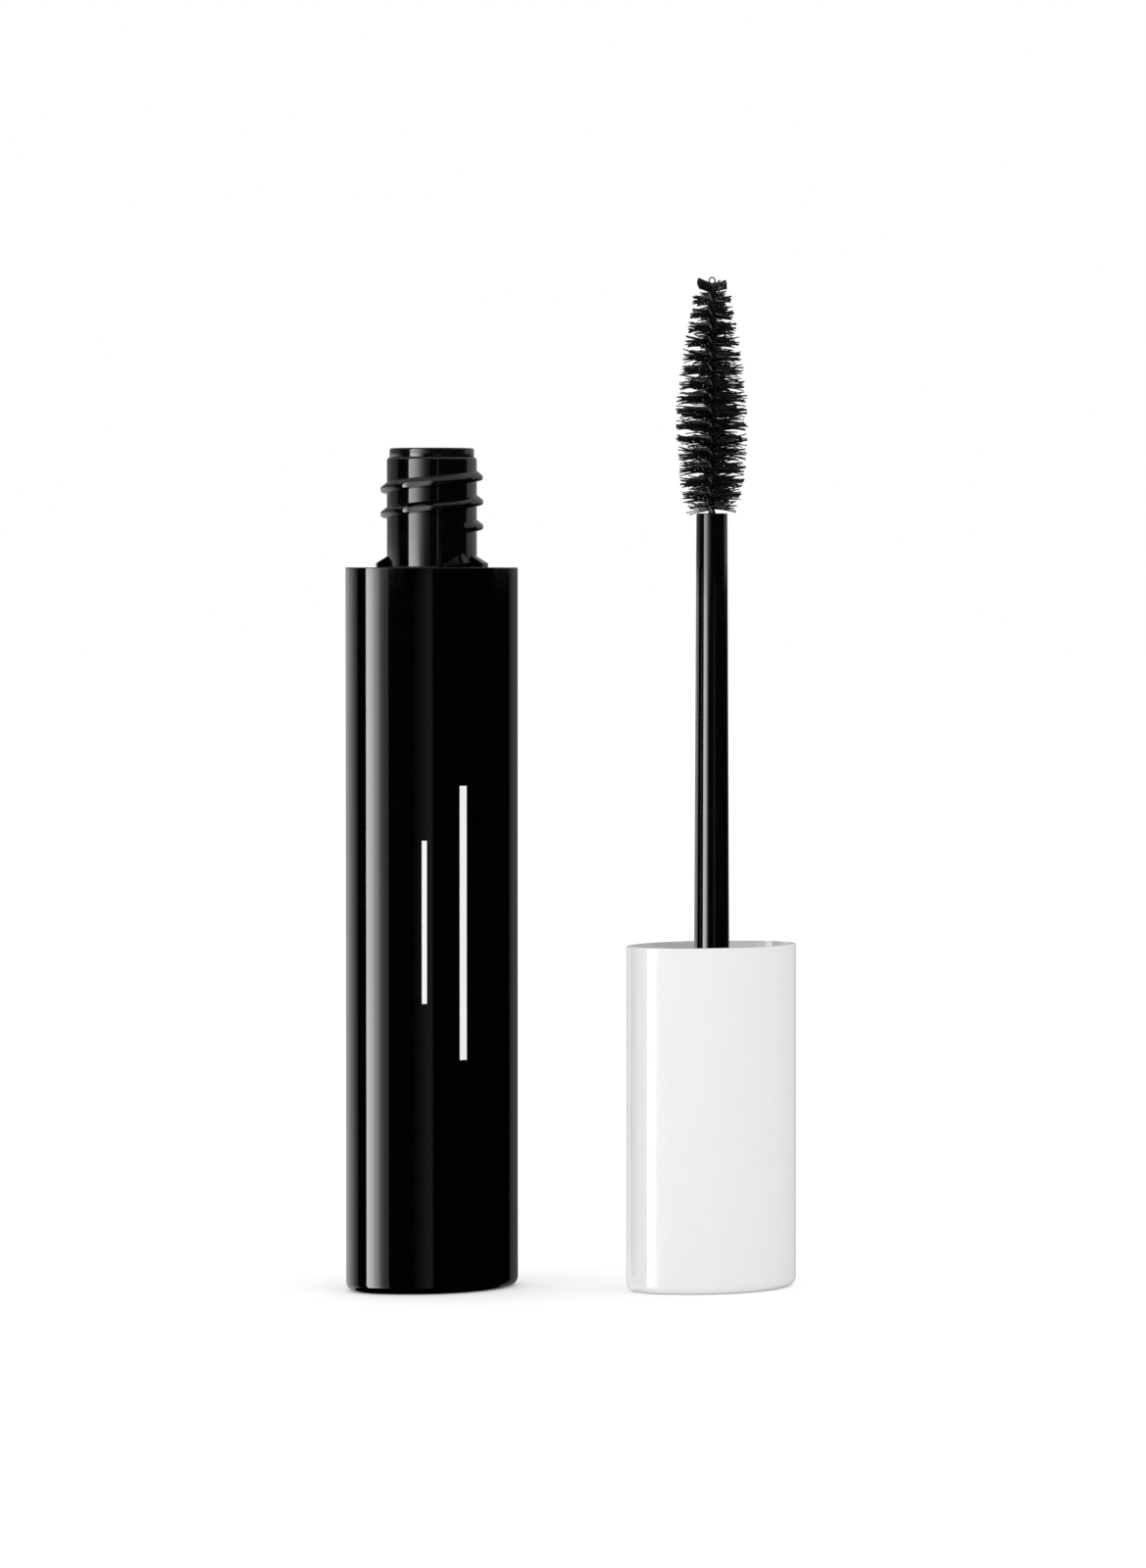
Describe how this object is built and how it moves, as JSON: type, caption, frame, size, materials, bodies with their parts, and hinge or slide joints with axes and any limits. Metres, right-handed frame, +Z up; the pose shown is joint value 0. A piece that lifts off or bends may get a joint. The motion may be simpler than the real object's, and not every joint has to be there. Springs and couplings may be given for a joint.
{
  "type": "mascara tube",
  "caption": "Open mascara: black oval bottle with threaded neck and wiper, and a white oval cap standing on its end with its stem and twisted-wire brush pointing up.",
  "frame": {"origin": "centre of the flat base of the bottle", "axes": "+Z up along the bottle's axis to its neck; +X along the long side of the bottle's oval; -Y is the side turned to the viewer"},
  "size_m": [0.0467, 0.0293, 0.1107],
  "materials": {
    "black_gloss": "polished, deep black",
    "soft_black": "soft satin",
    "mascara": "wet, creamy",
    "white_gloss": "polished white",
    "white_liner": "satin",
    "seal_rubber": "matt",
    "black_stem": "polished, black",
    "wire_steel": "dark drawn wire",
    "bristle_nylon": "fine nylon fibre"
  },
  "bodies": {
    "bottle": {"outer_sleeve": "black_gloss", "base_plug": "black_gloss", "vial": "black_gloss", "wiper": "soft_black", "formula": "mascara"},
    "brush_tip": {"tip_bristles": "bristle_nylon"},
    "seal": {"floating_seal": "seal_rubber"},
    "stem": {"stem": "black_stem"},
    "cap": {"cap_shell": "white_gloss", "threaded_liner": "white_liner", "wire_core": "wire_steel", "bristle_row_a": "bristle_nylon", "bristle_row_b": "bristle_nylon"}
  },
  "joints": [
    {"name": "turn_over", "type": "hinge", "parent": "bottle", "child": "brush_tip", "pos_m": [0.01325, -0.00765, 0.104], "axis": [-0.5, -0.866, 0], "range_deg": [0, 180]},
    {"name": "insert", "type": "slide", "parent": "brush_tip", "child": "seal", "axis": [0, 0, 1], "range_m": [0, 0.0849], "deforming": ["tip_bristles", "bristle_row_a", "bristle_row_b"]},
    {"name": "screw_lead", "type": "slide", "parent": "seal", "child": "stem", "axis": [0, 0, 1], "range_m": [0, 0.0063]},
    {"name": "cap_twist", "type": "hinge", "parent": "stem", "child": "cap", "pos_m": [0.0265, -0.0153, 0], "axis": [0, 0, 1], "range_deg": [0, 840.01]}
  ],
  "couplings": [
    {"joint": "cap_twist", "follows": "screw_lead", "rad_per_m": 2327.1}
  ]
}
